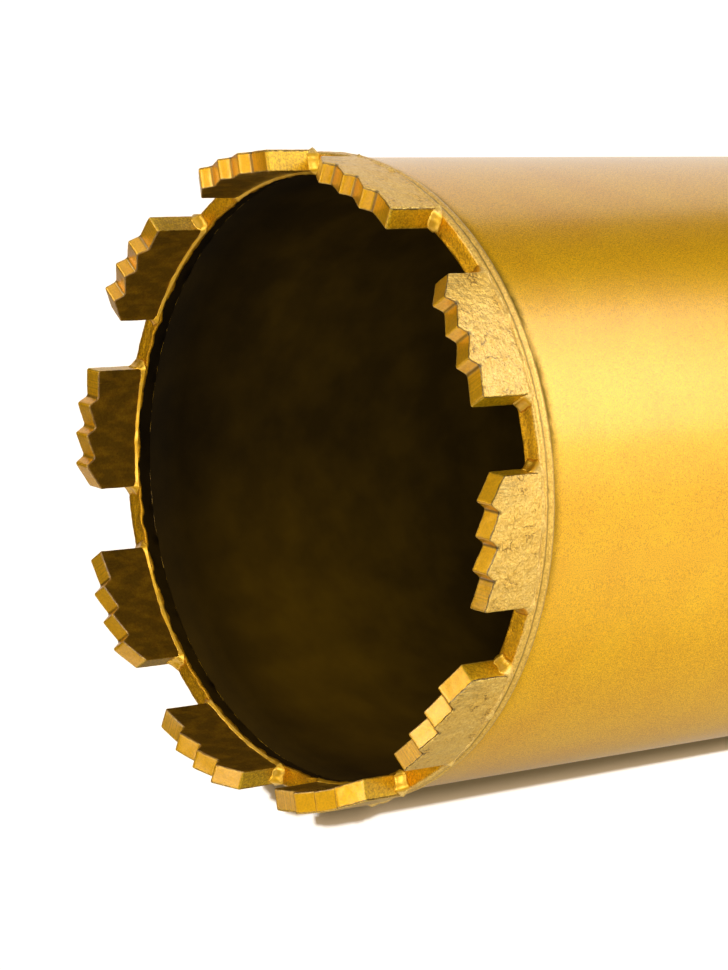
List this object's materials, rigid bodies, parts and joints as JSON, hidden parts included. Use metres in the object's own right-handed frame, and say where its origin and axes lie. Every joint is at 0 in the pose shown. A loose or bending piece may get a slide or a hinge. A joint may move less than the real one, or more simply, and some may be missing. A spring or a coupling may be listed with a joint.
{
  "type": "diamond core bit",
  "caption": "Tubular core drill for concrete: steel barrel, threaded hub and a crown of brazed saw-toothed diamond segments.",
  "frame": {"origin": "middle of the hub's end face, which is the lowest point of the part as it stands on its hub", "axes": "+Z along the bit's axis, from the hub towards the mouth and the cutting segments; +X and +Y across the bit, with the spanner flats facing +Y and -Y"},
  "size_m": [0.123, 0.123, 0.4975],
  "materials": {
    "barrel_paint": "satin metallic gold paint with a fine flake",
    "crown_paint": "satin metallic gold paint",
    "weld_paint": "satin metallic gold paint over rippled weld",
    "hub_paint": "satin metallic gold paint over turned steel",
    "segment_paint": "thin metallic gold paint over sintered, ground metal",
    "braze": "glossy gold-painted silver solder"
  },
  "bodies": {
    "root": {"barrel_tube": "barrel_paint", "crown_ring": "crown_paint", "back_plate": "barrel_paint", "plate_weld": "weld_paint", "threaded_hub": "hub_paint", "hub_weld": "weld_paint", "segment_01": "segment_paint", "segment_02": "segment_paint", "segment_03": "segment_paint", "segment_04": "segment_paint", "segment_05": "segment_paint", "segment_06": "segment_paint", "segment_07": "segment_paint", "segment_08": "segment_paint", "segment_09": "segment_paint", "segment_10": "segment_paint", "braze_01": "braze", "braze_02": "braze", "braze_03": "braze", "braze_04": "braze", "braze_05": "braze", "braze_06": "braze", "braze_07": "braze", "braze_08": "braze", "braze_09": "braze", "braze_10": "braze"}
  },
  "joints": []
}
